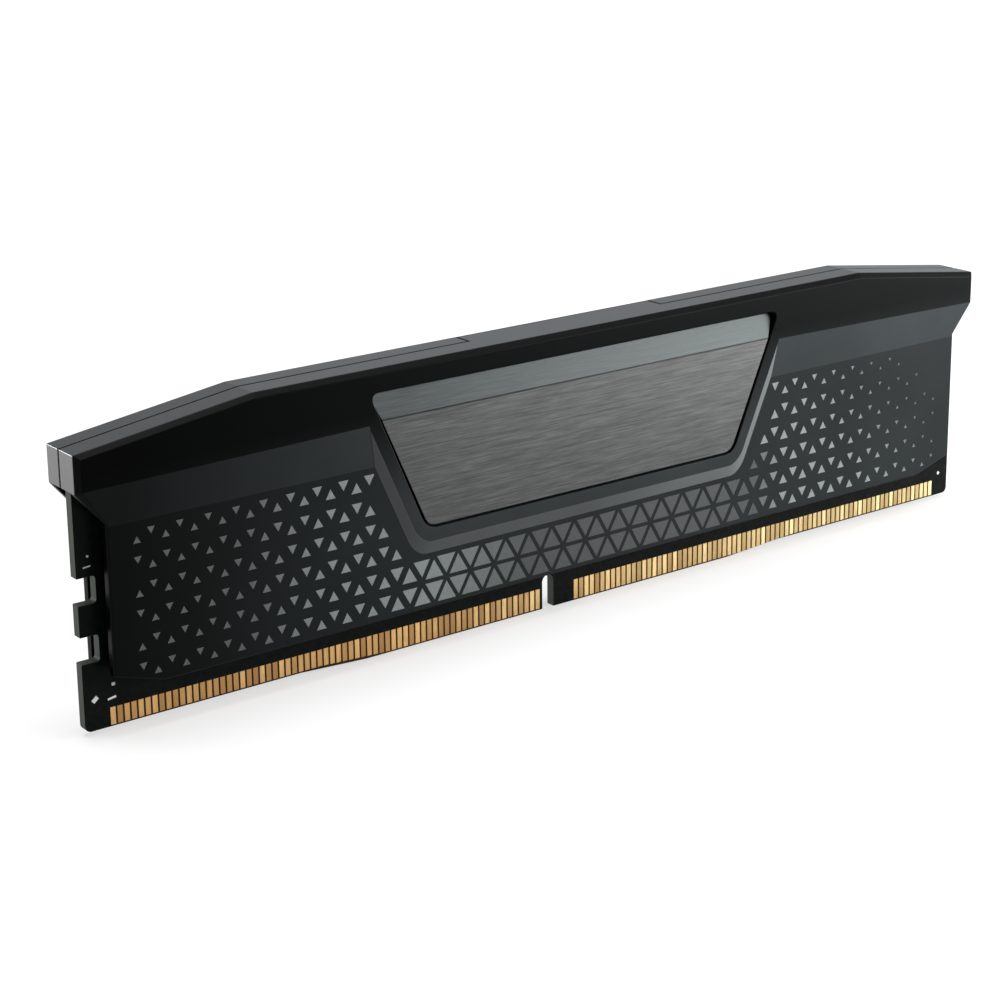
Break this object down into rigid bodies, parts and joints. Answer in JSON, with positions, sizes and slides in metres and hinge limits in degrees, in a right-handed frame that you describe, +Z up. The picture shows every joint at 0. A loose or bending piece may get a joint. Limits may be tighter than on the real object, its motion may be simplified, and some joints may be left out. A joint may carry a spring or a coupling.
{
  "type": "ram module",
  "caption": "Desktop memory module in a black two-part aluminium heat spreader with a field of small triangles and a blank brushed nameplate, standing on its row of gold edge contacts.",
  "frame": {"origin": "The middle of the bottom edge of the board, on its lowest stretch, where it stands in its socket.", "axes": "+X runs along the board to the right as the front is seen, -Y is the front face with the nameplate, +Z is up out of the socket."},
  "size_m": [0.1348, 0.0071, 0.0351],
  "materials": {
    "black_aluminium": "black anodised, satin, fine blasted",
    "brushed_nickel": "brushed dark nickel",
    "board": "black solder mask on glass fibre",
    "gold": "gold plate over copper",
    "chip_plastic": "black moulded chip package",
    "silicone_pad": "soft thermal silicone",
    "foam": "adhesive foam tape",
    "ceramic": "sintered ceramic body",
    "ferrite": "moulded ferrite",
    "adhesive": "double-sided adhesive",
    "label": "blank printed label stock"
  },
  "bodies": {
    "root": {"bulk_capacitor_1": "ceramic", "bulk_capacitor_2": "ceramic", "bulk_capacitor_3": "ceramic", "bulk_capacitor_4": "ceramic", "bulk_capacitor_5": "ceramic", "bulk_capacitor_6": "ceramic", "contacts_front_left": "gold", "contacts_front_right": "gold", "contacts_rear_left": "gold", "contacts_rear_right": "gold", "foam_tape_rear_left": "foam", "foam_tape_rear_right": "foam", "heat_spreader_front": "black_aluminium", "heat_spreader_rear": "black_aluminium", "memory_chip_1": "chip_plastic", "memory_chip_2": "chip_plastic", "memory_chip_3": "chip_plastic", "memory_chip_4": "chip_plastic", "memory_chip_5": "chip_plastic", "memory_chip_6": "chip_plastic", "memory_chip_7": "chip_plastic", "memory_chip_8": "chip_plastic", "nameplate": "brushed_nickel", "nameplate_adhesive": "adhesive", "pcb": "board", "power_inductor_1": "ferrite", "power_inductor_2": "ferrite", "power_inductor_3": "ferrite", "power_manager_chip": "chip_plastic", "rear_label": "label", "resistor_pack_1": "chip_plastic", "resistor_pack_2": "chip_plastic", "resistor_pack_3": "chip_plastic", "resistor_pack_4": "chip_plastic", "spd_hub_chip": "chip_plastic", "thermal_pad_left": "silicone_pad", "thermal_pad_power_chip": "silicone_pad", "thermal_pad_right": "silicone_pad"}
  },
  "joints": []
}
